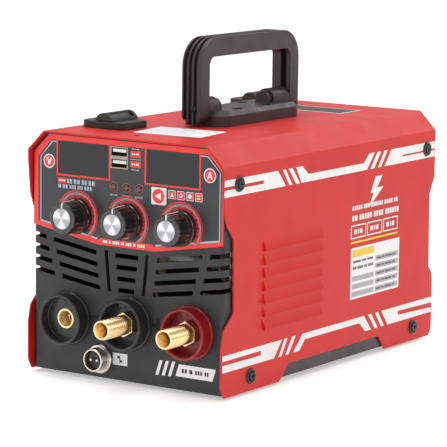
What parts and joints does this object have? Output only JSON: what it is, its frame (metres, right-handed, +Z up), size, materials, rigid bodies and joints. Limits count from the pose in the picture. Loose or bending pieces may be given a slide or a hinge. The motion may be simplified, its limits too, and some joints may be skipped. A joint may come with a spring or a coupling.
{
  "type": "tig welding machine",
  "caption": "Portable inverter welder: chamfered sheet-steel case, fold-down handle, latched side door, front dials, sockets and vents, with wire feeder and fan inside.",
  "frame": {"origin": "centre of the bounding box in plan, at the level the rubber feet stand on", "axes": "+Z up, -Y out of the control panel, +X to the right of someone facing the controls"},
  "size_m": [0.1678, 0.3216, 0.232],
  "materials": {
    "red_paint": "satin powder coat",
    "black_steel": "satin powder coat",
    "black_plastic": "fine moulded texture",
    "grip_plastic": "moulded, slightly worn",
    "overlay_print": "printed polycarbonate",
    "window": "dark tinted lens",
    "knob_plastic": "glossy moulded",
    "silver": "turned face",
    "brass": "turned",
    "red_plastic": "dark red moulded",
    "steel": "zinc plated",
    "chrome_ring": "nickel plated",
    "rubber": "matt",
    "board": "solder mask",
    "lens": "translucent",
    "button": "white with red print",
    "aluminium_fins": "extruded",
    "copper": "enamelled winding",
    "wire_steel": "copper coated wire",
    "clear_plastic": "moulded spool",
    "capacitor": "sleeved can"
  },
  "bodies": {
    "case": {"outer_cover": "red_paint", "hinge_brackets": "steel", "hinge_pins": "steel", "base_tray": "black_steel", "rubber_feet": "rubber", "cup_washers": "black_plastic", "case_screws": "black_steel", "handle_base": "grip_plastic", "handle_pins": "steel", "front_panel": "black_plastic", "control_overlay": "overlay_print", "display_windows": "window", "control_board": "board", "usb_port": "chrome_ring", "indicator_lenses": "lens", "potentiometers": "steel", "torch_socket": "black_plastic", "negative_socket": "black_plastic", "positive_socket": "red_plastic", "torch_insert": "brass", "hose_adapters": "brass", "trigger_connector": "chrome_ring", "trigger_insert": "black_plastic", "rear_panel": "black_steel", "fan_guard": "steel", "fan_frame": "black_plastic", "switch_housing": "black_plastic", "cable_gland": "black_plastic", "gas_inlet": "brass", "earth_stud": "steel", "divider_plate": "steel", "feeder_plate": "black_plastic", "feeder_motor": "steel", "spool_hub": "black_plastic", "main_board": "board", "heat_sinks": "aluminium_fins", "capacitors": "capacitor", "transformer": "copper", "choke": "copper", "busbars": "steel"},
    "door": {"door": "red_paint", "latch_base_front": "black_plastic", "latch_base_rear": "black_plastic"},
    "latch_front": {"latch_slider_front": "black_plastic"},
    "latch_rear": {"latch_slider_rear": "black_plastic"},
    "handle": {"handle_grip": "grip_plastic"},
    "dial_left": {"knob_left": "knob_plastic", "knob_cap_left": "silver"},
    "dial_middle": {"knob_middle": "knob_plastic", "knob_cap_middle": "silver"},
    "dial_right": {"knob_right": "knob_plastic", "knob_cap_right": "silver"},
    "button": {"mode_button": "button"},
    "rocker": {"switch_rocker": "red_plastic"},
    "fan": {"fan_rotor": "black_plastic"},
    "drive": {"drive_roll": "steel"},
    "arm": {"pressure_arm": "black_plastic"},
    "idler": {"pressure_roll": "steel"},
    "spool": {"wire_spool": "clear_plastic", "spool_wire": "wire_steel"}
  },
  "joints": [
    {"name": "door_hinge", "type": "hinge", "parent": "case", "child": "door", "pos_m": [-0.0802, 0.0038, 0.003], "axis": [0, -1, 0], "range_deg": [0, 90]},
    {"name": "front_latch_slide", "type": "slide", "parent": "door", "child": "latch_front", "axis": [-1, 0, 0], "range_m": [0, 0.005], "stiffness_N_per_m": 300, "springref_m": -0.002},
    {"name": "rear_latch_slide", "type": "slide", "parent": "door", "child": "latch_rear", "axis": [-1, 0, 0], "range_m": [0, 0.005], "stiffness_N_per_m": 300, "springref_m": -0.002},
    {"name": "handle_fold", "type": "hinge", "parent": "case", "child": "handle", "pos_m": [0, 0.0088, 0.1832], "axis": [0, 1, 0], "range_deg": [0, 90]},
    {"name": "left_knob_turn", "type": "hinge", "parent": "case", "child": "dial_left", "pos_m": [-0.0415, -0.1297, 0.1131], "axis": [0, 1, 0], "range_deg": [-140, 140]},
    {"name": "middle_knob_turn", "type": "hinge", "parent": "case", "child": "dial_middle", "pos_m": [0.0011, -0.1297, 0.1131], "axis": [0, 1, 0], "range_deg": [-140, 140]},
    {"name": "right_knob_turn", "type": "hinge", "parent": "case", "child": "dial_right", "pos_m": [0.0452, -0.1297, 0.1131], "axis": [0, 1, 0], "range_deg": [-140, 140]},
    {"name": "mode_button_press", "type": "slide", "parent": "case", "child": "button", "axis": [0, 1, 0], "range_m": [0, 0.0008], "stiffness_N_per_m": 900, "springref_m": -0.001},
    {"name": "power_rocker", "type": "hinge", "parent": "case", "child": "rocker", "pos_m": [-0.045, 0.1348, 0.132], "axis": [1, 0, 0], "range_deg": [-10, 10]},
    {"name": "fan_spin", "type": "hinge", "parent": "case", "child": "fan", "pos_m": [0.032, 0.1288, 0.092], "axis": [0, 1, 0], "continuous": true},
    {"name": "drive_roll_spin", "type": "hinge", "parent": "case", "child": "drive", "pos_m": [-0.032, -0.0522, 0.078], "axis": [1, 0, 0], "continuous": true},
    {"name": "pressure_arm_lift", "type": "hinge", "parent": "case", "child": "arm", "pos_m": [-0.032, -0.0782, 0.108], "axis": [1, 0, 0], "range_deg": [0, 60]},
    {"name": "pressure_roll_spin", "type": "hinge", "parent": "arm", "child": "idler", "pos_m": [-0.032, -0.0522, 0.1049], "axis": [1, 0, 0], "continuous": true},
    {"name": "spool_spin", "type": "hinge", "parent": "case", "child": "spool", "pos_m": [-0.045, 0.0558, 0.084], "axis": [1, 0, 0], "continuous": true}
  ]
}
